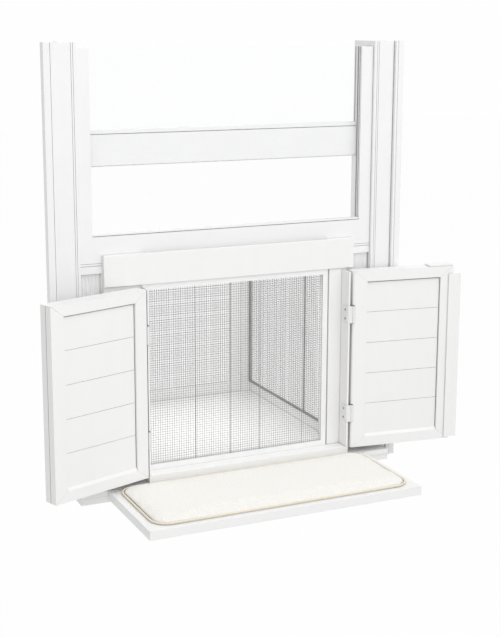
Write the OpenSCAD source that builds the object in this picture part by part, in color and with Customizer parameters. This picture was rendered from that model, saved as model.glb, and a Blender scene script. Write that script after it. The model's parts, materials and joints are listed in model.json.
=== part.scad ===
// Window box catio: an entrance surround with two plank shutters under a raised
// sash, a mesh cage outside the window and a shelf with a mat inside the room.
// X runs across the window with 0 at its middle, Y runs out of the room with 0 at
// the plane of the closed shutters' inner faces, Z is up from the sill's underside.

/* [Window] */
// Clear width between the two jambs
window_w = 800; // [740:1:860]
// Width of one moulded casing
casing_w = 81; // [70:1:100]
// Front plane of the casings' flat inner part
casing_y = 42.2; // [41.6:0.1:44]
// How far a casing's outer band stands proud of its flat part
band_t = 9; // [4:0.5:9]
// Width of a casing's outer band
band_w = 23; // [20:1:34]
// Back plane of the casings
casing_back = 57; // [52:0.5:62]
// Height at which the shown window section is cut
window_top = 1118; // [1000:1:1200]
// Back plane of the window's jambs
reveal_y = 150; // [130:1:180]
// Thickness of a jamb
jamb_t = 22; // [16:1:30]
// Height of the sill's top face
sill_h = 30.6; // [26:0.2:32]
// How far the sill's nose runs past the window's clear width
nose_over = 33.5; // [15:0.5:45]

/* [Sashes] */
// Underside of the raised lower sash
sash_z = 591.6; // [588:0.1:600]
// Height of the lower sash's bottom rail
sash_rail_h = 70.6; // [55:0.1:80]
// Width of the sash stiles
sash_stile_w = 32.6; // [25:0.1:40]
// Thickness of a sash
sash_t = 16; // [14:0.5:18]
// Gap between the planes of the two sashes
sash_gap = 7.2; // [5:0.1:12]
// Underside of the upper sash's meeting rail
meet_z = 821.9; // [780:0.1:860]
// Height of the meeting rail
meet_h = 77.5; // [50:0.5:85]

/* [Entrance surround] */
// Width of the gap that a side filler closes between the unit and a casing
filler_w = 56; // [40:1:76]
// Pitch of the fillers' pleats
pleat = 10.4; // [8:0.2:14]
// Width of the panels between the cage and the unit's edges
panel_w = 59; // [45:1:70]
// Underside of the header board
header_z = 532.6; // [531:0.1:545]
// Height of the header board
header_h = 78.5; // [60:0.5:90]
// Thickness of the header board
header_t = 14.6; // [10:0.1:18]
// Distance from the unit's left edge to the entrance
entry_left = 100.8; // [84:0.1:114]
// Distance from the entrance to the unit's right edge
entry_right = 30.8; // [26:0.1:44]
// Thickness of the left cheek
cheek_t = 3.8; // [3:0.1:3.8]
// Thickness of the right cheek
cheek_tr = 5; // [3:0.1:7]
// Plane of the screen and of the fixed boards
screen_y = 40.9; // [39:0.1:41]

/* [Shutters] */
// Height of the shutters
shutter_h = 480; // [440:1:482]
// Thickness of the shutters
shutter_t = 40.3; // [34:0.1:41]
// Underside of the shutters
shutter_z = 47; // [46:0.5:50]
// Width of the shutters' stiles
member_w = 36.5; // [30:0.5:45]
// Height of the shutters' top rails
rail_top = 28; // [22:0.5:40]
// Height of the shutters' bottom rails with their bevel
rail_bot = 35; // [28:0.5:45]
// Height of the bevel on the bottom rails
bevel_h = 8; // [4:0.5:9]
// Depth of the planks behind the shutters' face
recess_d = 6; // [4:0.5:12]
// Thickness of the planks
plank_t = 14; // [8:0.5:18]
// Gap between two planks
seam = 0.8; // [0.5:0.1:3]
// Width of the rebate round the planks' faces
rebate_w = 1.8; // [1:0.1:3]
// Gap in the shutters' mitred joints
mitre_gap = 0.4; // [0.2:0.1:0.6]
// Gap between the two shutters when they are closed
meet_gap = 2; // [1:0.1:4]
// Angle at which the left shutter stands open
open_l = 161; // [150:0.5:170]
// Angle at which the right shutter stands open
open_r = 173.4; // [160:0.1:175]
// Number of planks in each shutter
planks = 5; // [3:1:7]

/* [Hinges] */
// Height of a hinge
hinge_h = 46; // [40:1:60]
// Radius of the hinge knuckles
knuckle_r = 3; // [2.6:0.1:3.2]
// Radius of the hinge pins
pin_r = 1.5; // [1.2:0.1:1.7]
// Distance from the hinge pin to the shutter's edge
hinge_g = 1.5; // [1.3:0.1:2]

/* [Cage] */
// Outer face of the cage's back wall
cage_y = 570; // [450:1:620]
// Top face of the cage floor
floor_z = 66.2; // [62:0.1:66.6]
// Width of the wall frame members
wall_m = 33; // [24:1:40]
// Size of the square corner posts
corner_a = 28; // [20:1:34]
// Wires across a wall net
net_cols = 12; // [6:1:16]
// Wires up a wall net
net_rows = 12; // [6:1:16]

/* [Shelf and mat] */
// Half the width of the shelf
shelf_hw = 361.5; // [340:0.5:375]
// Front edge of the shelf
shelf_y = -295.6; // [-320:0.1:-260]
// Height of the shelf's rails
shelf_t = 22; // [18:0.5:24]
// Top face of the shelf
shelf_z = 29.8; // [27:0.1:30.2]
// Thickness of the mat over its middle
mat_t = 15; // [12:0.5:16]

/* [Hidden] */
$fn = 48;
post_in = window_w / 2;
post_out = post_in + casing_w;
nose_hw = post_in + nose_over;
unit_hw = post_in - filler_w;
cage_hw = unit_hw - panel_w;
cheek_l = entry_left - unit_hw;
cheek_r = unit_hw - entry_right;
sash_y = casing_y + 8.2;
upper_y = sash_y + sash_t + sash_gap;
liner_t = 22;
groove_w = 2.6;
groove_d = 4;
line_w = 1;
line_d = 2;
line_xs = [7, 12];
sash_top = window_top - 14;
bead_d = 7;
bead_gap = 1.4;
low_bead = 6;
high_bead = 11;
foot_h = 3;
sash_in = post_in - sash_stile_w - 0.8;
unit_y = screen_y + 9.3;
unit_t = 17.4;
header_y = unit_y - header_t;
header_top = header_z + header_h;
base_top = sill_h + 19.9;
cheek_y = 1.5;
channel_z = 566.4;
channel_d = 22;
seal_z = sash_z - 7;
axis_r = cheek_r + 15.1;
axis_l = cheek_l - 3.2;
shutter_w = (axis_r - axis_l - 2 * hinge_g - meet_gap) / 2;
hinge_low = 72.5;
hinge_high = 137.3;
hinge_zs = [shutter_z + hinge_low, shutter_z + shutter_h - hinge_high];
rebate_d = 8;
stile_over = 4;
screw_in = 11;
screw_y = -16;
strip_in = 14;
strip_out = 21;
strip_t = 4;
strip_short = 20;
strip_z = base_top + 1;
block_w = 67;
block_d = 32;
block_h = 5;
leaf_t = 1.2;
leaf_d = 26;
bore_r = pin_r + 0.05;
pin_over = 1.4;
screen_l = cheek_l - 2.4;
board_r0 = cheek_r - 37.4;
screen_r = board_r0 - 4.3;
screen_z0 = base_top;
screen_z1 = header_z - 0.4;
frame_w = 13.8;
net_w = 1.4;
screen_t = 8.6;
bar_r = 0.8;
bar_xs = [-104, -7, 76, 200];
lip_t = 3;
cage_y0 = unit_y + unit_t;
cage_z = floor_z - 18;
roof_z = channel_z - 14;
wall_t = 7;
bearer_xs = [-220, 180];
bearer_w = 40;
mid_y = 205;
mid_w = 5;
end_w = 20;
clamp_w = 5;
clamp_z = floor_z + wall_m - 3;
cage_out = cage_hw + wall_t;
cage_in_y = cage_y - wall_t;
post_d = wall_t + 8;
back_m = wall_m + 2;
nose_dx = 7;
sill_nose = -6;
sill_lip = -2;
lip_z = 17.8;
shelf_dx = 4;
rail_t = 18;
panel_z = shelf_z - 12;
shelf_back = sill_nose - 0.2;
bracket_xs = [-260, 0, 260];
bracket_t = 3;
bracket_w = 30;
bracket_l = 200;
bracket_ys = [-50, -170];
nose_screw_z = 7;
pipe_r = 2.4;
mat_in = [20, 16, 17];
mat_x0 = shelf_dx - shelf_hw + mat_in[0];
mat_x1 = shelf_dx + shelf_hw - mat_in[1];
mat_y0 = shelf_y + mat_in[2];
mat_y1 = sill_nose - 2;
mat_r = 45;

// A box given by its two opposite corners
module bx(a, b) {
  translate(a) cube([b[0] - a[0], b[1] - a[1], b[2] - a[2]]);
}

// A straight net of square wires in the XZ plane, from a corner to a corner
module net(x0, x1, z0, z1, y, cols, rows) {
  dx = (x1 - x0 - net_w) / cols;
  dz = (z1 - z0 - net_w) / rows;
  for (i = [0 : cols]) {
    bx([x0 + i * dx, y, z0], [x0 + i * dx + net_w, y + net_w, z1]);
  }
  for (j = [0 : rows]) {
    bx([x0, y, z0 + j * dz], [x1, y + net_w, z0 + j * dz + net_w]);
  }
}

// Four members of a mitred or butted frame as one flat ring with a window
module ring(x0, x1, z0, z1, y0, y1, w) {
  difference() {
    bx([x0, y0, z0], [x1, y1, z1]);
    bx([x0 + w, y0 - 1, z0 + w], [x1 - w, y1 + 1, z1 - w]);
  }
}

// Window
module sill() color("ivory") difference() {
  union() {
    bx([nose_dx - nose_hw, sill_nose, lip_z], [nose_dx + nose_hw, casing_back, sill_h]);
    bx([nose_dx - nose_hw, sill_lip, 0], [nose_dx + nose_hw, casing_back, lip_z]);
    bx([-post_in - jamb_t, casing_back, 0], [post_in + jamb_t, reveal_y, sill_h]);
  }
  for (x = bracket_xs) translate([x, sill_lip - 1, nose_screw_z])
    rotate([-90, 0, 0]) cylinder(r = 2, h = 16);
}

// A casing: a flat inner part, a groove beside its proud outer band and fine lines
module casing() difference() {
  linear_extrude(window_top) difference() {
    polygon([
      [post_in, casing_y], [post_out - band_w, casing_y],
      [post_out - band_w, casing_y - band_t], [post_out, casing_y - band_t],
      [post_out, casing_back], [post_in, casing_back]
    ]);
    translate([post_out - band_w - groove_w, casing_y - 1]) square([groove_w, groove_d + 1]);
    translate([post_out - band_w + 6, casing_y - band_t - 1]) square([line_w, line_d + 1]);
    for (x = line_xs) translate([post_in + x, casing_y - 1]) square([line_w, line_d + 1]);
  }
  bx([post_in - 1, 0, -1], [nose_hw + nose_dx + 0.3, casing_back + 1, sill_h]);
}

module right_casing() color("white") casing();

module left_casing() color("white") mirror([1, 0, 0]) casing();

module jambs() color("white") for (s = [0, 1]) mirror([s, 0, 0])
  bx([post_in, casing_back, sill_h], [post_in + jamb_t, reveal_y, window_top]);

module jamb_liners() color("gainsboro") for (s = [0, 1]) mirror([s, 0, 0])
  bx([sash_in, upper_y, sill_h], [post_in, upper_y + liner_t, meet_z - 0.3]);

// Dark strips in the track between the two sashes
module sash_gaskets() color("dimgray") for (s = [0, 1]) mirror([s, 0, 0])
  bx([sash_in + 0.6, sash_y + sash_t + 0.2, sash_z], [post_in, upper_y, sash_top]);

// A sash rail with a glazing bead along its top, a fine gap between them
module bead_rail(y, z, face_h, bead_h, bead_in) {
  bx([-sash_in, y, z], [sash_in, y + sash_t, z + face_h]);
  bx([-sash_in, y + bead_d, z + face_h], [sash_in, y + sash_t, z + face_h + bead_h]);
  bx([-sash_in, y + bead_in, z + face_h + bead_gap], [sash_in, y + bead_d, z + face_h + bead_h]);
}

module lower_sash_bottom_rail() color("white")
  bead_rail(sash_y, sash_z, sash_rail_h - low_bead, low_bead, 1.5);

module lower_sash_stiles() color("white") for (s = [0, 1]) mirror([s, 0, 0])
  bx([sash_in, sash_y, sash_z], [post_in - 0.8, sash_y + sash_t, sash_top]);

module lower_sash_glass() color("lightblue", 0.3)
  bx([-sash_in, sash_y + 8, sash_z + sash_rail_h], [sash_in, sash_y + 12, sash_top]);

module upper_sash_meeting_rail() color("white") {
  bx([-sash_in, upper_y + bead_d, meet_z], [sash_in, upper_y + sash_t, meet_z + foot_h]);
  bead_rail(upper_y, meet_z + foot_h, meet_h - foot_h, high_bead, 3);
}

module upper_sash_stiles() color("white") for (s = [0, 1]) mirror([s, 0, 0])
  bx([sash_in, upper_y, meet_z], [post_in - 0.8, upper_y + sash_t, sash_top]);

module upper_sash_glass() color("lightblue", 0.3)
  bx([-sash_in, upper_y + 8, meet_z + meet_h + high_bead], [sash_in, upper_y + 12, sash_top]);

// Surround
module top_channel() color("white") difference() {
  bx([-post_in + 0.6, unit_y, channel_z], [post_in - 0.6, unit_y + channel_d, seal_z]);
  bx([-post_in - 1, unit_y + 3, channel_z - 1], [post_in + 1, unit_y + channel_d - 3, seal_z - 3]);
}

module sash_seal() color("whitesmoke") {
  bx([-post_in + 0.6, unit_y + 5, seal_z], [post_in - 0.6, unit_y + 18, seal_z + bead_gap]);
  bx([-post_in + 0.6, unit_y + 0.8, seal_z + bead_gap], [post_in - 0.6, unit_y + 18, sash_z - 0.9]);
}

// The header board, rebated at its back so that the screen can be pushed up behind it
module header_board() color("white") difference() {
  bx([-unit_hw, header_y, header_z], [unit_hw, unit_y, header_top]);
  translate([0, header_y, header_z]) rotate([45, 0, 0])
    cube([3 * unit_hw, 1.6, 1.6], center = true);
  translate([0, header_y, header_top]) rotate([45, 0, 0])
    cube([3 * unit_hw, 1.6, 1.6], center = true);
  bx([screen_l - 0.6, screen_y - 0.4, header_z - 1],
    [screen_r + 0.6, unit_y + 1, header_top + 1]);
}

// One pleated filler between the unit and a casing
module filler() {
  x0 = unit_hw + 3;
  x1 = post_in - 1;
  n = max(1, round((x1 - x0) / pleat));
  p = (x1 - x0) / n;
  y = unit_y + 4;
  front = [for (i = [0 : 2 * n]) [x0 + i * p / 2, y + (i % 2 == 0 ? 5 : 0)]];
  back = [for (i = [2 * n : -1 : 0]) [x0 + i * p / 2, y + 2.2 + (i % 2 == 0 ? 5 : 0)]];
  translate([0, 0, sill_h]) linear_extrude(channel_z + 10 - sill_h) polygon(concat(front, back));
  bx([unit_hw, y, sill_h], [x0, y + 7.2, channel_z + 10]);
}

module side_fillers() color("whitesmoke") for (s = [0, 1]) mirror([s, 0, 0]) filler();

module side_panels() color("white") for (s = [0, 1]) mirror([s, 0, 0])
  bx([cage_hw, unit_y, sill_h], [unit_hw, unit_y + unit_t, channel_z]);

// The fixed boards beside the screen, each with a lip that guides the screen's back
module left_fixed_board() color("white") {
  bx([-unit_hw, screen_y, base_top], [screen_l - 0.4, unit_y, header_z]);
  bx([screen_l - 16, unit_y, floor_z], [screen_l + 9, unit_y + lip_t, header_z]);
}

module right_fixed_board() color("white") {
  bx([board_r0, screen_y, base_top], [axis_r - 1.1, unit_y, header_z]);
  bx([axis_r - 1.1, unit_y - 4, base_top], [unit_hw, unit_y, header_z]);
  bx([screen_r - 9, unit_y, floor_z], [cage_hw - 0.3, unit_y + lip_t, header_z]);
}

// One cheek, its inner face at x, standing on the base rail
module cheek(x0, x1) difference() {
  bx([x0, cheek_y, base_top], [x1, screen_y, shutter_z + shutter_h]);
  for (z = hinge_zs) for (k = [screw_in, hinge_h - screw_in])
    translate([x0 - 1, cheek_y + 15, z + k]) rotate([0, 90, 0]) cylinder(r = 1.6, h = 10);
}

// Room for the knuckles and pin heads of both hinges round an upright line at x
module knuckle_room(x) for (z = hinge_zs)
  translate([x, 0, z - 1.5]) cylinder(r = knuckle_r + 0.4, h = hinge_h + pin_over + 2.5);

module right_cheek() color("white") cheek(cheek_r, cheek_r + cheek_tr);

module left_cheek() color("white") difference() {
  cheek(cheek_l - cheek_t, cheek_l);
  knuckle_room(axis_l);
}

module base_rail() color("white") {
  bx([cheek_l - cheek_t, 1, sill_h], [cheek_r + cheek_tr, unit_y, base_top]);
  bx([-unit_hw, screen_y, sill_h], [cheek_l - cheek_t, unit_y, base_top]);
  bx([cheek_r + cheek_tr, screen_y, sill_h], [unit_hw, unit_y, base_top]);
}

module screen_frame() color("white")
  ring(screen_l, screen_r, screen_z0, screen_z1, screen_y, screen_y + screen_t, frame_w);

module screen_mesh() color("gray")
  net(screen_l + frame_w, screen_r - frame_w, screen_z0 + frame_w, screen_z1 - frame_w,
    screen_y + 3.4, 15, 14);

// Thin upright stays that keep the screen's mesh flat
module screen_bars() color("dimgray") for (x = bar_xs)
  translate([x, screen_y + 3.2 - bar_r, screen_z0 + frame_w])
  cylinder(r = bar_r, h = screen_z1 - screen_z0 - 2 * frame_w, $fn = 16);

// Shutters, drawn closed with the hinge pin on the Z axis and the planks along +X
module at_left() translate([axis_l, 0, 0]) rotate([0, 0, -open_l]) children();

module at_right() translate([axis_r, 0, 0]) rotate([0, 0, open_r]) mirror([1, 0, 0]) children();

// A flat member cut to an outline in the shutter's face
module member(points) translate([hinge_g, 0, shutter_z]) rotate([90, 0, 0])
  linear_extrude(shutter_t) polygon(points);

module leaf_screw_holes(d) for (z = hinge_zs) for (k = [screw_in, hinge_h - screw_in])
  translate([hinge_g - 1, screw_y, z + k]) rotate([0, 90, 0]) cylinder(r = 1.6, h = d + 1);

// The mitred stile at the hinges, with a small chamfer along its edge, which
// reaches past the shutter's width by over
module hinge_stile(over = 0) difference() {
  member([[-over, 0], [0, 0], [member_w, rail_bot - bevel_h], [member_w, shutter_h - rail_top],
    [0, shutter_h], [-over, shutter_h]]);
  translate([hinge_g - over, 0, shutter_z + shutter_h / 2]) rotate([0, 0, 45])
    cube([4.2, 4.2, shutter_h + 2], center = true);
  knuckle_room(0);
  for (z = hinge_zs) bx([hinge_g - over - 1, -leaf_d, z], [hinge_g + leaf_t, 1, z + hinge_h]);
  leaf_screw_holes(14);
}

// The mitred stile at the free edge, with a groove down the middle of that edge
module free_stile() difference() {
  member([[shutter_w, 0], [shutter_w, shutter_h], [shutter_w - member_w, shutter_h - rail_top],
    [shutter_w - member_w, rail_bot - bevel_h]]);
  bx([hinge_g + shutter_w - 1.5, -shutter_t / 2 - 1, shutter_z - 1],
    [hinge_g + shutter_w + 1, -shutter_t / 2 + 1, shutter_z + shutter_h + 1]);
}

// The top rail and the bottom rail, whose inner edge is bevelled
module shutter_rails() {
  flat = rail_bot - bevel_h;
  g = mitre_gap;
  x0 = member_w + g;
  x1 = shutter_w - member_w - g;
  difference() {
    member([[g, 0], [shutter_w - g, 0], [x1, flat], [x1, rail_bot], [x0, rail_bot], [x0, flat]]);
    translate([hinge_g, 0, shutter_z + flat]) rotate([90, 0, 90]) linear_extrude(shutter_w)
      polygon([[0.01, 0], [0.01, bevel_h + 1], [-recess_d - 1, bevel_h + 1], [-recess_d, bevel_h]]);
  }
  member([[g, shutter_h], [x0, shutter_h - rail_top], [x1, shutter_h - rail_top],
    [shutter_w - g, shutter_h]]);
}

// The planks between the members, with a rebate along their tops and ends
module shutter_planks() difference() {
  low = shutter_z + rail_bot;
  high = shutter_z + shutter_h - rail_top;
  pitch = (high - low) / planks;
  x0 = hinge_g + member_w;
  x1 = hinge_g + shutter_w - member_w;
  union() for (i = [0 : planks - 1]) {
    z0 = low + i * pitch + (i == 0 ? 0 : seam / 2);
    z1 = low + (i + 1) * pitch - (i == planks - 1 ? 0 : seam / 2);
    bx([x0, -recess_d - plank_t, z0], [x1, -recess_d, z1]);
  }
  bx([x0 - 1, -recess_d - rebate_d, high - 2 * rebate_w], [x1 + 1, -recess_d + 1, high + 1]);
  bx([x0 - 1, -recess_d - rebate_d, low - 1], [x0 + rebate_w, -recess_d + 1, high + 1]);
  bx([x1 - rebate_w, -recess_d - rebate_d, low - 1], [x1 + 1, -recess_d + 1, high + 1]);
}

module left_shutter_hinge_stile() color("white") at_left() hinge_stile();

module left_shutter_free_stile() color("white") at_left() free_stile();

module left_shutter_rails() color("white") at_left() shutter_rails();

module left_shutter_planks() color("white") at_left() shutter_planks();

module right_shutter_hinge_stile() color("white") at_right() hinge_stile(stile_over);

module right_shutter_free_stile() color("white") at_right() free_stile();

module right_shutter_rails() color("white") at_right() shutter_rails();

module right_shutter_planks() color("white") at_right() shutter_planks();

module overlap_strip() color("white") at_right() translate([hinge_g + shutter_w, 0, strip_z])
  linear_extrude(shutter_z + shutter_h - strip_short - strip_z)
  polygon([[-strip_in, 0], [0, 0], [0, 0.3], [strip_out, 0.3], [strip_out, strip_t + 0.3],
    [-strip_in, strip_t + 0.3]]);

// The flat block on top of the right shutter at its free end
module catch_block() color("white") at_right()
  translate([hinge_g + shutter_w - 1, -3, shutter_z + shutter_h])
  bx([-block_w, -block_d, 0], [0, 0, block_h]);

// The half of a hinge on the shutter: a leaf in its edge and the two outer knuckles
module shutter_leaf(z) translate([0, 0, z]) difference() {
  union() {
    bx([hinge_g, -leaf_d, 0], [hinge_g + leaf_t, 0, hinge_h]);
    cylinder(r = knuckle_r, h = hinge_h);
  }
  translate([0, 0, hinge_h / 3 - 0.2]) cylinder(r = knuckle_r + 0.3, h = hinge_h / 3 + 0.4);
  translate([0, 0, -1]) cylinder(r = bore_r, h = hinge_h + 2);
  for (k = [screw_in, hinge_h - screw_in])
    translate([hinge_g - 1, screw_y, k]) rotate([0, 90, 0]) cylinder(r = 1.6, h = 4);
}

module shutter_leaves() for (z = hinge_zs) shutter_leaf(z);

// The half of a hinge on a cheek: a leaf on its inner face, bent over its front
// edge, and the middle knuckle; a is the pin's line, x the cheek's inner face
module cheek_leaf(a, x, z) {
  s = x < a ? -1 : 1;
  lo = min(x, x + s * leaf_t);
  hi = max(x, x + s * leaf_t);
  translate([0, 0, z]) difference() {
    union() {
      bx([lo, 0.3, 0], [hi, 30, hinge_h]);
      bx([min(lo, a), 0.3, 0], [max(hi, a), 0.3 + leaf_t, hinge_h]);
      translate([a, 0, hinge_h / 3]) cylinder(r = knuckle_r, h = hinge_h / 3);
    }
    translate([a, 0, -1]) cylinder(r = knuckle_r + 0.3, h = hinge_h / 3 + 0.8);
    translate([a, 0, 2 * hinge_h / 3 + 0.2]) cylinder(r = knuckle_r + 0.3, h = hinge_h / 3 + 1);
    translate([a, 0, -1]) cylinder(r = bore_r, h = hinge_h + 2);
    for (k = [screw_in, hinge_h - screw_in])
      translate([lo - 1, cheek_y + 15, k]) rotate([0, 90, 0]) cylinder(r = 1.6, h = 4);
  }
}

module left_cheek_hinge_leaves() color("silver")
  for (z = hinge_zs) cheek_leaf(axis_l, cheek_l, z);

module right_cheek_hinge_leaves() color("silver")
  for (z = hinge_zs) cheek_leaf(axis_r, cheek_r, z);

module left_shutter_hinge_leaves() color("silver") at_left() shutter_leaves();

module right_shutter_hinge_leaves() color("silver") at_right() shutter_leaves();

module hinge_pins() color("gray") for (a = [axis_l, axis_r]) for (z = hinge_zs)
  translate([a, 0, z]) {
    translate([0, 0, -0.6]) cylinder(r = pin_r, h = hinge_h + 0.9);
    translate([0, 0, hinge_h + 0.2]) cylinder(r = 2.4, h = pin_over - 0.2);
  }

// A screw along +X with its round head on the face at x = 0
module screw(d) rotate([0, 90, 0]) {
  translate([0, 0, -0.9]) cylinder(r = 3, h = 0.9);
  cylinder(r = 1.5, h = d);
}

module cheek_leaf_screws() color("dimgray")
  for (z = hinge_zs) for (k = [screw_in, hinge_h - screw_in]) {
  translate([cheek_r - leaf_t, cheek_y + 15, z + k]) screw(4.6);
  translate([cheek_l + leaf_t, cheek_y + 15, z + k]) mirror([1, 0, 0]) screw(4.6);
}

module shutter_screws() for (z = hinge_zs) for (k = [screw_in, hinge_h - screw_in])
  translate([hinge_g, screw_y, z + k]) screw(13);

module left_shutter_screws() color("dimgray") at_left() shutter_screws();

module right_shutter_screws() color("dimgray") at_right() shutter_screws();

// Cage outside the window
module floor_bearers() color("white") for (x = bearer_xs)
  bx([x, unit_y, sill_h], [x + bearer_w, cage_y, cage_z]);

module cage_floor() color("white") {
  bx([-cage_hw, unit_y, cage_z], [cage_hw, cage_y0, floor_z]);
  bx([-cage_out, cage_y0, cage_z], [cage_out, cage_y, floor_z]);
}

module corner_posts() color("white") for (s = [0, 1]) mirror([s, 0, 0]) {
  bx([cage_hw - 26, cage_y - post_d, floor_z], [cage_out, cage_y, roof_z]);
  bx([cage_hw - 7, cage_y0, floor_z], [cage_out, cage_y0 + corner_a, roof_z]);
}

// One side wall frame with a thin upright between its two nets
module side_wall_frames() color("white") for (s = [0, 1]) mirror([s, 0, 0]) difference() {
  bx([cage_hw, cage_y0 + corner_a, floor_z], [cage_out, cage_y - post_d, roof_z]);
  bx([cage_hw - 1, cage_y0 + corner_a + end_w, floor_z + wall_m],
    [cage_out + 1, mid_y, roof_z - wall_m]);
  bx([cage_hw - 1, mid_y + mid_w, floor_z + wall_m],
    [cage_out + 1, cage_y - post_d - 3, roof_z - wall_m]);
}

module side_wall_nets() color("gray") for (s = [0, 1]) mirror([s, 0, 0])
  translate([cage_hw + 4.2, 0, 0]) rotate([0, 0, 90]) {
    net(cage_y0 + corner_a + end_w, mid_y, floor_z + wall_m, roof_z - wall_m, 0, 3, net_rows);
    net(mid_y + mid_w, cage_y - post_d - 3, floor_z + wall_m, roof_z - wall_m, 0, 9, net_rows);
  }

// Dark strips that clamp the lower and the outer edge of the side nets
module side_wall_bars() color("dimgray") for (s = [0, 1]) mirror([s, 0, 0]) {
  bx([cage_hw - 4, cage_y0 + corner_a, clamp_z], [cage_hw, cage_y - post_d, clamp_z + clamp_w]);
  bx([cage_hw - 4, cage_y - post_d - clamp_w, clamp_z + clamp_w],
    [cage_hw, cage_y - post_d, roof_z]);
}

module back_wall_frame() color("white") {
  hw = cage_hw - 26;
  difference() {
    bx([-hw, cage_in_y, floor_z], [hw, cage_y, roof_z]);
    bx([-hw + back_m, cage_in_y - 1, floor_z + wall_m], [hw - back_m, cage_y + 1, roof_z - wall_m]);
  }
}

module back_wall_net() color("gray") {
  hw = cage_hw - 26 - back_m;
  net(-hw, hw, floor_z + wall_m, roof_z - wall_m, cage_in_y + 3, net_cols, net_rows);
}

module cage_roof() color("white")
  bx([-cage_out, cage_y0, roof_z], [cage_out, cage_y, channel_z]);

// Shelf inside the room
module shelf_front_rail() color("white") translate([shelf_dx, 0, 0])
  bx([-shelf_hw, shelf_y, shelf_z - shelf_t], [shelf_hw, shelf_y + rail_t, shelf_z]);

module shelf_side_rails() color("white") translate([shelf_dx, 0, 0]) {
  bx([-shelf_hw, shelf_y + rail_t, shelf_z - shelf_t], [-shelf_hw + rail_t, shelf_back, shelf_z]);
  bx([shelf_hw - rail_t, shelf_y + rail_t, shelf_z - shelf_t], [shelf_hw, shelf_back, shelf_z]);
}

module shelf_panel() color("white") difference() {
  bx([shelf_dx - shelf_hw + rail_t, shelf_y + rail_t, panel_z],
    [shelf_dx + shelf_hw - rail_t, shelf_back, shelf_z]);
  for (x = bracket_xs) for (y = bracket_ys) translate([x, y, panel_z - 1]) cylinder(r = 2, h = 9);
}

module shelf_brackets() color("silver") for (x = bracket_xs) difference() {
  union() {
    bx([x - bracket_w / 2, -bracket_l, panel_z - bracket_t], [x + bracket_w / 2, sill_lip, panel_z]);
    bx([x - bracket_w / 2, sill_lip - bracket_t, 0.5], [x + bracket_w / 2, sill_lip, panel_z]);
  }
  for (y = bracket_ys) translate([x, y, 0]) cylinder(r = 2, h = 30);
  translate([x, -10, nose_screw_z]) rotate([-90, 0, 0]) cylinder(r = 2, h = 20);
}

module bracket_screws() color("dimgray") for (x = bracket_xs) {
  for (y = bracket_ys) translate([x, y, panel_z - bracket_t]) {
    translate([0, 0, -1.6]) cylinder(r = 4, h = 1.6);
    cylinder(r = 1.9, h = 10.5);
  }
  translate([x, sill_lip - bracket_t, nose_screw_z]) rotate([-90, 0, 0]) {
    translate([0, 0, -1.6]) cylinder(r = 4, h = 1.6);
    cylinder(r = 1.9, h = 14);
  }
}

// The mat's corners, drawn in by d from its outer edge, for a slab at height z
module mat_slab(d, z, t) for (x = [mat_x0 + mat_r, mat_x1 - mat_r])
  for (y = [mat_y0 + mat_r, mat_y1 - mat_r])
  translate([x, y, shelf_z + z]) cylinder(r = mat_r - d, h = t, $fn = 40);

module mat() color("ivory") hull() {
  mat_slab(9, 0, 0.4);
  mat_slab(2 * pipe_r + 0.2, 3.5, mat_t * 0.35);
  mat_slab(13, mat_t - 2.6, 0.3);
  bx([mat_x0 + 120, mat_y0 + 90, shelf_z + mat_t - 0.4], [mat_x1 - 120, mat_y1 - 90, shelf_z + mat_t]);
}

module mat_piping() color("tan") {
  r = mat_r - pipe_r;
  z = shelf_z + 4.4;
  for (c = [[mat_x0 + mat_r, mat_y0 + mat_r, 180], [mat_x1 - mat_r, mat_y0 + mat_r, 270],
      [mat_x1 - mat_r, mat_y1 - mat_r, 0], [mat_x0 + mat_r, mat_y1 - mat_r, 90]])
    translate([c[0], c[1], z]) rotate([0, 0, c[2]]) rotate_extrude(angle = 90)
    translate([r, 0]) circle(r = pipe_r, $fn = 20);
  for (y = [mat_y0 + pipe_r, mat_y1 - pipe_r]) translate([mat_x0 + mat_r, y, z])
    rotate([0, 90, 0]) cylinder(r = pipe_r, h = mat_x1 - mat_x0 - 2 * mat_r, $fn = 20);
  for (x = [mat_x0 + pipe_r, mat_x1 - pipe_r]) translate([x, mat_y0 + mat_r, z])
    rotate([-90, 0, 0]) cylinder(r = pipe_r, h = mat_y1 - mat_y0 - 2 * mat_r, $fn = 20);
}

sill();
left_casing();
right_casing();
jambs();
jamb_liners();
sash_gaskets();
lower_sash_bottom_rail();
lower_sash_stiles();
lower_sash_glass();
upper_sash_meeting_rail();
upper_sash_stiles();
upper_sash_glass();
top_channel();
sash_seal();
header_board();
side_fillers();
side_panels();
left_fixed_board();
right_fixed_board();
left_cheek();
right_cheek();
base_rail();
screen_frame();
screen_mesh();
screen_bars();
left_shutter_hinge_stile();
left_shutter_free_stile();
left_shutter_rails();
left_shutter_planks();
right_shutter_hinge_stile();
right_shutter_free_stile();
right_shutter_rails();
right_shutter_planks();
overlap_strip();
catch_block();
left_cheek_hinge_leaves();
right_cheek_hinge_leaves();
left_shutter_hinge_leaves();
right_shutter_hinge_leaves();
hinge_pins();
cheek_leaf_screws();
left_shutter_screws();
right_shutter_screws();
floor_bearers();
cage_floor();
corner_posts();
side_wall_frames();
side_wall_nets();
side_wall_bars();
back_wall_frame();
back_wall_net();
cage_roof();
shelf_front_rail();
shelf_side_rails();
shelf_panel();
shelf_brackets();
bracket_screws();
mat();
mat_piping();
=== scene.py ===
import json
import math

import bmesh
import bpy
from mathutils import Matrix, Vector


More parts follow.
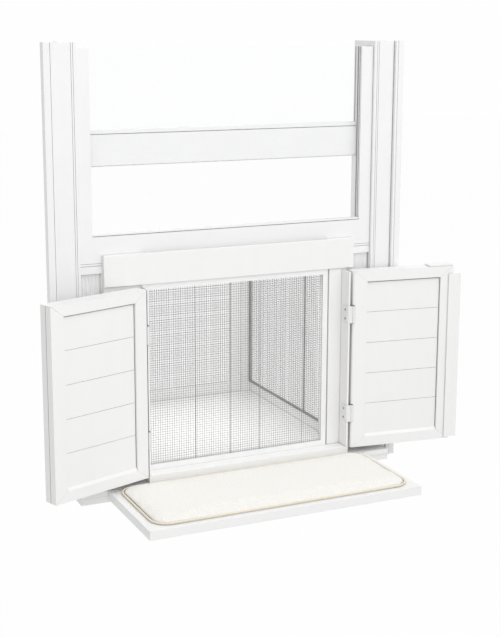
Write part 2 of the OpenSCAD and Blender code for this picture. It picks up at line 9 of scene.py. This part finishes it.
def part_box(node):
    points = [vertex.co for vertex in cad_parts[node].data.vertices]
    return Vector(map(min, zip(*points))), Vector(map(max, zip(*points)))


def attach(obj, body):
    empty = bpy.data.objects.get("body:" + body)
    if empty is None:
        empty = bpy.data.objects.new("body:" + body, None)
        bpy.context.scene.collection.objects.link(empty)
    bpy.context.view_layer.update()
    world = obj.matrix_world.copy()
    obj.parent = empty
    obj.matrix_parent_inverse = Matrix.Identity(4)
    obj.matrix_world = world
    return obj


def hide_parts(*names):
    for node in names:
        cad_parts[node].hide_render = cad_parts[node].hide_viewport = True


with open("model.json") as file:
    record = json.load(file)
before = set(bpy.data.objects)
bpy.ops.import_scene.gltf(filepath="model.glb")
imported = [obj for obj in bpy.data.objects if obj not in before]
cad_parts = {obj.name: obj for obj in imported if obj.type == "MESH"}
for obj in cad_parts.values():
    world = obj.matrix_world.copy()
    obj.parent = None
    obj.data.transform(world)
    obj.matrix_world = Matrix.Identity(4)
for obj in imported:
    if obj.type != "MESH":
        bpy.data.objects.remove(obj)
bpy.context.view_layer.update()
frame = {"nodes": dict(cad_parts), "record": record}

# Every length is in metres.
# Pitch and radius of the welded wire mesh
MESH_PITCH = 0.00635
WIRE_R = 0.00032
# Where the thin upright between the two nets of a side wall starts and ends
SIDE_UPRIGHT = (0.205, 0.21)
# How near another face must be for painted shade to darken the paint, and the finish of the
# window
PAINT_SHADE_REACH = 0.0035
WINDOW_SHADE_REACH = 0.003

X, Y, Z = Vector((1, 0, 0)), Vector((0, 1, 0)), Vector((0, 0, 1))


# ---------------------------------------------------------------- materials

def new_material(name):
    """An empty material, with its nodes and its links."""
    m = bpy.data.materials.new(name)
    m.use_nodes = True
    m.node_tree.nodes.clear()
    return m, m.node_tree.nodes, m.node_tree.links


def principled(nodes, links, **values):
    """A principled shader that is joined to the output, with its sockets set to values."""
    out = nodes.new("ShaderNodeOutputMaterial")
    shader = nodes.new("ShaderNodeBsdfPrincipled")
    links.new(shader.outputs["BSDF"], out.inputs["Surface"])
    for socket, value in values.items():
        shader.inputs[socket.replace("_", " ")].default_value = value
    return shader


def noise(nodes, links, scale, detail, stretch=(1, 1, 1)):
    """Noise in the object's own axes."""
    coord = nodes.new("ShaderNodeTexCoord")
    place = nodes.new("ShaderNodeMapping")
    place.inputs["Scale"].default_value = stretch
    tex = nodes.new("ShaderNodeTexNoise")
    tex.inputs["Scale"].default_value = scale
    tex.inputs["Detail"].default_value = detail
    links.new(coord.outputs["Object"], place.inputs["Vector"])
    links.new(place.outputs["Vector"], tex.inputs["Vector"])
    return tex


def tint(nodes, links, tex, low, high):
    """A colour that goes from low to high over the middle of the noise."""
    ramp = nodes.new("ShaderNodeValToRGB")
    for end, place, colour in zip(ramp.color_ramp.elements, (0.35, 0.65), (low, high)):
        end.position = place
        end.color = (*colour, 1)
    links.new(tex.outputs["Fac"], ramp.inputs["Fac"])
    return ramp


def painted_crevice_shade(nodes, links, colour, shade_reach, depth):
    """Painted shade: the colour, darker by up to the depth share where another face stands
    nearer than the reach, as if shade fell there.
    """
    near = nodes.new("ShaderNodeAmbientOcclusion")
    near.samples = 12
    near.inputs["Distance"].default_value = shade_reach
    open_share = nodes.new("ShaderNodeCombineColor")
    for channel in ("Red", "Green", "Blue"):
        links.new(near.outputs["AO"], open_share.inputs[channel])
    shaded_colour = nodes.new("ShaderNodeMix")
    shaded_colour.data_type = "RGBA"
    shaded_colour.blend_type = "MULTIPLY"
    shaded_colour.inputs["Factor"].default_value = depth
    links.new(colour, shaded_colour.inputs["A"])
    links.new(open_share.outputs["Color"], shaded_colour.inputs["B"])
    return shaded_colour.outputs["Result"]


def surface(name, low, high, rough, scale=40, stretch=(1, 1, 1), bump=0.0, depth=0.0002,
            shade_reach=0.0, painted_shade_depth=0.6, **values):
    """A finish whose colour wanders from low to high, with a fine relief of bump and depth.
    Painted shade darkens it by up to the given share where another face stands nearer than the
    given reach."""
    m, nodes, links = new_material(name)
    shader = principled(nodes, links, Roughness=rough, **values)
    tex = noise(nodes, links, scale, 4, stretch)
    colour = tint(nodes, links, tex, low, high).outputs["Color"]
    # Painted shade: crevices, recesses and joints are darkened in the colour itself, where shade
    # would fall
    if shade_reach:
        colour = painted_crevice_shade(nodes, links, colour, shade_reach, painted_shade_depth)
    links.new(colour, shader.inputs["Base Color"])
    if bump:
        fine = noise(nodes, links, scale * 6, 3, stretch)
        relief = nodes.new("ShaderNodeBump")
        relief.inputs["Strength"].default_value = bump
        relief.inputs["Distance"].default_value = depth
        links.new(fine.outputs["Fac"], relief.inputs["Height"])
        links.new(relief.outputs["Normal"], shader.inputs["Normal"])
    return m


def glass_material():
    """Clear glass: a little gloss over a surface that lets all light straight through."""
    m, nodes, links = new_material("clear_glass")
    out = nodes.new("ShaderNodeOutputMaterial")
    clear = nodes.new("ShaderNodeBsdfTransparent")
    clear.inputs["Color"].default_value = (0.998, 0.9995, 0.999, 1)
    shine = nodes.new("ShaderNodeBsdfGlossy")
    shine.inputs["Roughness"].default_value = 0.02
    mix = nodes.new("ShaderNodeMixShader")
    tex = noise(nodes, links, 3, 1)
    amount = nodes.new("ShaderNodeMapRange")
    amount.inputs["To Min"].default_value = 0.004
    amount.inputs["To Max"].default_value = 0.008
    links.new(tex.outputs["Fac"], amount.inputs["Value"])
    links.new(amount.outputs["Result"], mix.inputs["Fac"])
    links.new(clear.outputs["BSDF"], mix.inputs[1])
    links.new(shine.outputs["BSDF"], mix.inputs[2])
    links.new(mix.outputs["Shader"], out.inputs["Surface"])
    return m


WHITE_SHARE = 0.97      # how much of the floor's look is plain white; the rest is lit
BACKDROP_WHITE = 0.993  # the sky's white, which meets the floor's without an edge


def backdrop_material():
    """A pale floor that shows white to the camera and keeps a little of the shadow."""
    m, nodes, links = new_material("backdrop")
    out = nodes.new("ShaderNodeOutputMaterial")
    paint = nodes.new("ShaderNodeBsdfDiffuse")
    tex = noise(nodes, links, 2, 2)
    pale = tint(nodes, links, tex, (0.79, 0.79, 0.79), (0.81, 0.81, 0.81))
    links.new(pale.outputs["Color"], paint.inputs["Color"])
    white = nodes.new("ShaderNodeEmission")
    white.inputs["Strength"].default_value = 1.0
    share = nodes.new("ShaderNodeMath")
    share.operation = "MULTIPLY"
    share.inputs[1].default_value = WHITE_SHARE
    links.new(seen_ray(nodes, links), share.inputs[0])
    mix = nodes.new("ShaderNodeMixShader")
    links.new(share.outputs[0], mix.inputs["Fac"])
    links.new(paint.outputs["BSDF"], mix.inputs[1])
    links.new(white.outputs["Emission"], mix.inputs[2])
    links.new(mix.outputs["Shader"], out.inputs["Surface"])
    return m


def seen_ray(nodes, links):
    """1 for a ray that the camera, a gloss or a glass sends, and 0 for one that lights."""
    path = nodes.new("ShaderNodeLightPath")
    total = path.outputs["Is Camera Ray"]
    for ray in ("Is Glossy Ray", "Is Transmission Ray"):
        more = nodes.new("ShaderNodeMath")
        more.operation = "MAXIMUM"
        links.new(total, more.inputs[0])
        links.new(path.outputs[ray], more.inputs[1])
        total = more.outputs[0]
    return total


def grey(value, spread=0.012, warm=0.0):
    """Two near greys that a finish wanders between."""
    low, high = value - spread, value + spread
    return (low, low, low - warm), (high, high, high - warm)


# The crevice darkening in painted_wood, window_white and sill_white is painted shade
MATS = {
    "painted_wood": surface("painted_wood", *grey(0.9, 0.004, 0.006), rough=0.45, scale=26,
                            stretch=(1, 1, 0.2), bump=0.12, shade_reach=PAINT_SHADE_REACH,
                            Specular_IOR_Level=0.2),
    "window_white": surface("window_white", *grey(0.9, 0.006), rough=0.36, scale=12,
                            shade_reach=WINDOW_SHADE_REACH, painted_shade_depth=0.4, Specular_IOR_Level=0.3),
    "white_plastic": surface("white_plastic", *grey(0.91), rough=0.4, scale=18),
    "sill_white": surface("sill_white", *grey(0.87, 0.02, 0.01), rough=0.36, scale=14,
                          shade_reach=PAINT_SHADE_REACH),
    "grey_plastic": surface("grey_plastic", *grey(0.3, 0.03), rough=0.5, scale=20),
    "dark_rubber": surface("dark_rubber", *grey(0.3, 0.02), rough=0.7, scale=60),
    "wire_mesh": surface("wire_mesh", *grey(0.13, 0.03), rough=0.42, scale=300, Metallic=0.3),
    "plated_steel": surface("plated_steel", *grey(0.84, 0.03), rough=0.34, scale=90,
                            stretch=(1, 1, 6), Metallic=0.35),
    "dark_steel": surface("dark_steel", *grey(0.34, 0.03), rough=0.35, scale=200, Metallic=0.3),
    "clear_glass": glass_material(),
    "cream_fabric": surface("cream_fabric", (0.85, 0.838, 0.795), (0.945, 0.935, 0.898),
                            rough=0.95, scale=260, bump=0.7, depth=0.0006, Sheen_Weight=0.25),
    "beige_piping": surface("beige_piping", (0.8, 0.72, 0.58), (0.89, 0.82, 0.69), rough=0.8,
                            scale=400, bump=0.4, depth=0.0003),
}
FINISH_OF = {row["node"]: row["material_slot"] for row in frame["record"]["subparts"]}


def paint(obj, slot):
    """Gives the object one finish."""
    obj.data.materials.clear()
    obj.data.materials.append(MATS[slot])


for name, obj in frame["nodes"].items():
    paint(obj, FINISH_OF[name])


# ------------------------------------------------------- softened CAD edges

SHARP = math.radians(40)  # an edge that turns by more than this is rounded


def soften(name, width):
    """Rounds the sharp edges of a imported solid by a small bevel."""
    mod = frame["nodes"][name].modifiers.new("soft_edge", "BEVEL")
    mod.width = width
    mod.segments = 2
    mod.limit_method = "ANGLE"
    mod.angle_limit = SHARP
    mod.harden_normals = False


BOARD_EDGE = 0.0008
PLANK_EDGE = 0.0004
STILE_EDGE = 0.0009
STRIP_EDGE = 0.0005
SCREEN_EDGE = 0.0006
BOARDS = ["header_board", "base_rail", "left_cheek", "right_cheek", "left_fixed_board",
          "right_fixed_board", "shelf_front_rail", "shelf_side_rails", "sill",
          "lower_sash_bottom_rail", "upper_sash_meeting_rail", "cage_floor", "cage_roof",
          "corner_posts", "back_wall_frame", "side_wall_frames", "top_channel", "catch_block",
          "jambs", "side_panels", "floor_bearers"]
for name in BOARDS:
    soften(name, BOARD_EDGE)
for side in ("left", "right"):
    soften(side + "_shutter_planks", PLANK_EDGE)
    for part in ("_shutter_hinge_stile", "_shutter_free_stile", "_shutter_rails"):
        soften(side + part, STILE_EDGE)
soften("overlap_strip", STRIP_EDGE)
soften("screen_frame", SCREEN_EDGE)


# ----------------------------------------------------------- welded meshes

WIRE_SIDES = 6
CROSSING = 0.9  # the wires of the two ways lie this share of a radius off the net's plane


def wire(bm, a, b):
    """A straight wire from a to b."""
    axis = (b - a).normalized()
    ref = Y if abs(axis.y) < 0.5 else X
    u = axis.cross(ref).normalized()
    v = axis.cross(u)
    rings = []
    for p in (a, b):
        rings.append([bm.verts.new(p + (u * math.cos(t) + v * math.sin(t)) * WIRE_R)
                      for t in (2 * math.pi * k / WIRE_SIDES for k in range(WIRE_SIDES))])
    for k in range(WIRE_SIDES):
        n = (k + 1) % WIRE_SIDES
        bm.faces.new((rings[0][k], rings[0][n], rings[1][n], rings[1][k]))
    bm.faces.new(rings[0][::-1])
    bm.faces.new(rings[1])


def wire_net(bm, origin, across, up, width, height):
    """Upright wires on one side of the level ones, at the mesh's pitch, inside a rectangle."""
    out = across.cross(up)
    cols = max(1, round(width / MESH_PITCH))
    rows = max(1, round(height / MESH_PITCH))
    for i in range(cols + 1):
        x = min(max(i * width / cols, WIRE_R), width - WIRE_R)
        base = origin + across * x + out * WIRE_R * CROSSING
        wire(bm, base, base + up * height)
    for j in range(rows + 1):
        z = min(max(j * height / rows, WIRE_R), height - WIRE_R)
        base = origin + up * z - out * WIRE_R * CROSSING
        wire(bm, base, base + across * width)


def solid(name, bm, slot, body, *nodes):
    """Makes an object of bm that replaces the named nodes and rides on body, if one is given."""
    mesh = bpy.data.meshes.new(name)
    bm.normal_update()
    bm.to_mesh(mesh)
    bm.free()
    obj = bpy.data.objects.new(name, mesh)
    bpy.context.scene.collection.objects.link(obj)
    obj.data.materials.append(MATS[slot])
    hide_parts(*nodes)
    if body:
        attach(obj, body)
    return obj


def flat_net(name, node, body):
    """The wires of one upright net that faces the room."""
    lo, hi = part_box(node)
    bm = bmesh.new()
    wire_net(bm, Vector((lo.x, (lo.y + hi.y) / 2, lo.z)), X, Z, hi.x - lo.x, hi.z - lo.z)
    solid(name, bm, "wire_mesh", body, node)


flat_net("screen_wires", "screen_mesh", "screen_panel")
flat_net("back_wall_wires", "back_wall_net", "window_unit")


def side_nets():
    """The wires of the nets in both side walls, two lengths in each."""
    lo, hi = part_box("side_wall_nets")
    bm = bmesh.new()
    for x in (lo.x + 2 * WIRE_R, hi.x - 2 * WIRE_R):
        for y0, y1 in ((lo.y, SIDE_UPRIGHT[0]), (SIDE_UPRIGHT[1], hi.y)):
            wire_net(bm, Vector((x, y0, lo.z)), Y, Z, y1 - y0, hi.z - lo.z)
    solid("side_wall_wires", bm, "wire_mesh", "window_unit", "side_wall_nets")


side_nets()


# -------------------------------------------------------------- the mat

MAT_CORNER = 0.045     # radius of the mat's corners
SEAM_IN = 0.0052       # how far the seam lies inside the piping's outer edge
SEAM_TOP = 0.0062      # height of the seam's upper edge over the mat's underside
# The slack bag's outline at rising heights: how far in it lies, and the height
BAG = ((0.010, 0.0004), (SEAM_IN, 0.0035), (SEAM_IN, SEAM_TOP), (0.009, 0.0092),
       (0.022, 0.0112))
VOXEL = 0.0045         # size of the cover's cells
HELD_BELOW = 0.0066    # what lies lower than this over the underside is held
FRAMES = 20            # how many frames the filling takes
SWELL = 0.005          # how far a point may move while the mat fills out
CORNER_STEPS = 10      # parts that a corner of the outline is cut into


def rounded(lo, hi, inset):
    """Points round the mat's outline, drawn in by inset, counter-clockwise."""
    r = MAT_CORNER - inset
    points = []
    for cx, cy, start in ((hi.x - MAT_CORNER, lo.y + MAT_CORNER, -90),
                          (hi.x - MAT_CORNER, hi.y - MAT_CORNER, 0),
                          (lo.x + MAT_CORNER, hi.y - MAT_CORNER, 90),
                          (lo.x + MAT_CORNER, lo.y + MAT_CORNER, 180)):
        for k in range(CORNER_STEPS + 1):
            t = math.radians(start + 90 * k / CORNER_STEPS)
            points.append((cx + r * math.cos(t), cy + r * math.sin(t)))
    return points


def bake(obj):
    """Applies the object's modifiers to its mesh."""
    bpy.context.view_layer.update()
    dg = bpy.context.evaluated_depsgraph_get()
    mesh = bpy.data.meshes.new_from_object(obj.evaluated_get(dg))
    obj.modifiers.clear()
    obj.data = mesh


def slack_mat():
    """The mat before it is filled: a flat bag with its seam at the piping's height."""
    outer_lo, outer_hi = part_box("mat_piping")
    bm = bmesh.new()
    rings = []
    for inset, z in BAG:
        ring = rounded(outer_lo, outer_hi, inset)
        rings.append([bm.verts.new((x, y, MAT_BASE + z)) for x, y in ring])
    n = len(rings[0])
    for low, high in zip(rings, rings[1:]):
        for k in range(n):
            bm.faces.new((low[k], low[(k + 1) % n], high[(k + 1) % n], high[k]))
    bm.faces.new(rings[0][::-1])
    bm.faces.new(rings[-1])
    obj = solid("mat_cover", bm, "cream_fabric", None, "mat")
    remesh = obj.modifiers.new("even", "REMESH")
    remesh.mode = "VOXEL"
    remesh.voxel_size = VOXEL
    bake(obj)
    return obj


def fill_out(obj):
    """Fills the mat by a cloth simulation, with its seam and its underside held."""
    before = [v.co.copy() for v in obj.data.vertices]
    held = obj.vertex_groups.new(name="held")
    low = [v.index for v in obj.data.vertices if v.co.z < MAT_BASE + HELD_BELOW]
    held.add(low, 1.0, "REPLACE")
    cloth = obj.modifiers.new("filling", "CLOTH")
    cloth.settings.use_pressure = True
    cloth.settings.uniform_pressure_force = 4
    cloth.settings.vertex_group_mass = "held"
    cloth.settings.tension_stiffness = 9
    cloth.settings.compression_stiffness = 9
    cloth.settings.bending_stiffness = 4
    cloth.settings.shrink_min = -0.012
    cloth.settings.effector_weights.gravity = 0
    cloth.point_cache.frame_start = 1
    cloth.point_cache.frame_end = FRAMES
    for f in range(1, FRAMES + 1):
        bpy.context.scene.frame_set(f)
    bake(obj)
    bpy.context.scene.frame_set(1)
    for v, old in zip(obj.data.vertices, before):
        move = v.co - old
        if move.length > SWELL:
            v.co = old + move * (SWELL / move.length)


def smooth_and_divide(obj):
    """Calms the cover's wrinkles and rounds its cells."""
    calm = obj.modifiers.new("calm", "SMOOTH")
    calm.factor = 0.5
    calm.iterations = 9
    fine = obj.modifiers.new("fine", "SUBSURF")
    fine.levels = 1
    fine.render_levels = 1
    bake(obj)
    for poly in obj.data.polygons:
        poly.use_smooth = True


MAT_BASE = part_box("mat")[0].z
mat_cover = slack_mat()
fill_out(mat_cover)
smooth_and_divide(mat_cover)
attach(mat_cover, "window_unit")


# ------------------------------------------------------- floor and light

FLOOR_SIZE = 40
FLOOR_Z = -0.75
SKY_LIGHT = 0.69  # strength of the even light from all sides

bpy.ops.mesh.primitive_plane_add(size=FLOOR_SIZE, location=(0, 0, FLOOR_Z))
floor = bpy.context.object
floor.name = "floor"
floor.data.materials.append(backdrop_material())

world = bpy.data.worlds.new("studio")
bpy.context.scene.world = world
world.use_nodes = True
wn, wl = world.node_tree.nodes, world.node_tree.links
wn.clear()
sky_out = wn.new("ShaderNodeOutputWorld")
seen = wn.new("ShaderNodeBackground")
lit = wn.new("ShaderNodeBackground")
seen.inputs["Color"].default_value = (1, 1, 1, 1)
seen.inputs["Strength"].default_value = BACKDROP_WHITE
lit.inputs["Color"].default_value = (1, 1, 1, 1)
lit.inputs["Strength"].default_value = SKY_LIGHT
sky_mix = wn.new("ShaderNodeMixShader")
wl.new(seen_ray(wn, wl), sky_mix.inputs["Fac"])
wl.new(lit.outputs["Background"], sky_mix.inputs[1])
wl.new(seen.outputs["Background"], sky_mix.inputs[2])
wl.new(sky_mix.outputs["Shader"], sky_out.inputs["Surface"])


def area(name, place, target, size, power):
    """A rectangular lamp at place that faces target and isn't seen itself."""
    data = bpy.data.lights.new(name, "AREA")
    data.shape = "RECTANGLE"
    data.size, data.size_y = size
    data.energy = power
    lamp = bpy.data.objects.new(name, data)
    lamp.location = place
    lamp.rotation_euler = (Vector(target) - Vector(place)).to_track_quat("-Z", "Y").to_euler()
    bpy.context.scene.collection.objects.link(lamp)
    lamp.visible_camera = False


# Name, place, what it faces, width and height, and power in watts
LAMPS = (
    ("key", (0.9, -2.4, 3.6), (0, 0, 0.4), (3.4, 2.6), 62),
    ("front", (-1.2, -3, 1.2), (0, 0.1, 0.4), (1.6, 1.4), 12),
    ("outside", (0.4, 3.2, 2.2), (0, 0.3, 0.35), (2.4, 1.8), 21),
    ("cage", (0, 0.3, 0.53), (0, 0.3, 0), (0.4, 0.35), 1.15),
)
for lamp_values in LAMPS:
    area(*lamp_values)


# --------------------------------------------------------------- camera

CAMERA_PLACE = (-1.3256, -2.9286, 1.166)
# Degrees to the left, downwards and round the line of sight
TURN, TIP, ROLL = -24.821, 11.947, 0.176
# Millimetres: the lens, and the longer side of the picture behind it
LENS, SENSOR = 73.877, 36.0
# How far the view is shifted to the right and up, as shares of the picture's longer side
SHIFT = (-0.0006, -0.0323)

cam_data = bpy.data.cameras.new("camera")
cam = bpy.data.objects.new("camera", cam_data)
bpy.context.scene.collection.objects.link(cam)
bpy.context.scene.camera = cam
cam_data.sensor_width = SENSOR
cam_data.lens = LENS
cam_data.shift_x, cam_data.shift_y = SHIFT
cam_data.clip_start = 0.05
cam_data.clip_end = 60
cam.location = CAMERA_PLACE
cam.rotation_mode = "QUATERNION"
turn = Matrix.Rotation(math.radians(TURN), 4, "Z")
tip = Matrix.Rotation(math.radians(90 - TIP), 4, "X")
roll = Matrix.Rotation(math.radians(ROLL), 4, "Z")
cam.rotation_quaternion = (turn @ tip @ roll).to_quaternion()

bpy.context.scene.view_settings.view_transform = "Standard"
